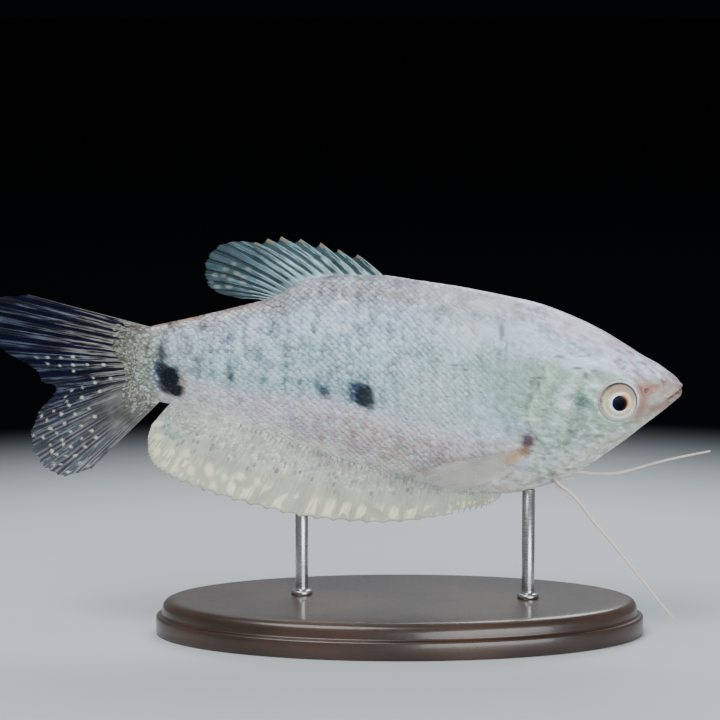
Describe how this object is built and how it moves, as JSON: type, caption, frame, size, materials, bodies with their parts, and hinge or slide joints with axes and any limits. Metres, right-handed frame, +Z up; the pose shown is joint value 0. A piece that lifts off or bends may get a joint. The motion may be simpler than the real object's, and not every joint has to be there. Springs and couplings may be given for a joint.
{
  "type": "blue gourami model on a display stand",
  "caption": "Life-size still model of an adult blue gourami with thread-like pelvic feelers, held above a flat oval base by two short rods.",
  "frame": {"origin": "middle of the underside of the stand's base", "axes": "+X towards the snout, +Y towards the fish's left flank, +Z up"},
  "size_m": [0.1265, 0.046, 0.0684],
  "materials": {
    "skin": "satin, pale blue-grey scales with a silver sheen",
    "gill_cover": "satin, mint-grey with a silver sheen",
    "eye": "glossy, silver-beige iris and black pupil",
    "fin": "translucent blue-grey membrane with pale rays",
    "anal_fin": "translucent grey-green membrane with cream spots and margin",
    "feeler": "satin cream white",
    "base": "dark stained and satin lacquered",
    "rod": "brushed"
  },
  "bodies": {
    "root": {"head": "skin", "trunk": "skin", "tail_stem": "skin", "gill_cover_right": "gill_cover", "gill_cover_left": "gill_cover", "eye_right": "eye", "eye_left": "eye", "dorsal_fin": "fin", "tail_fin_upper": "fin", "tail_fin_lower": "fin", "anal_fin": "anal_fin", "pectoral_fin_right": "fin", "pectoral_fin_left": "fin", "pelvic_feeler_right": "feeler", "pelvic_feeler_left": "feeler", "stand_base": "base", "stand_rod_front": "rod", "stand_rod_rear": "rod"}
  },
  "joints": []
}
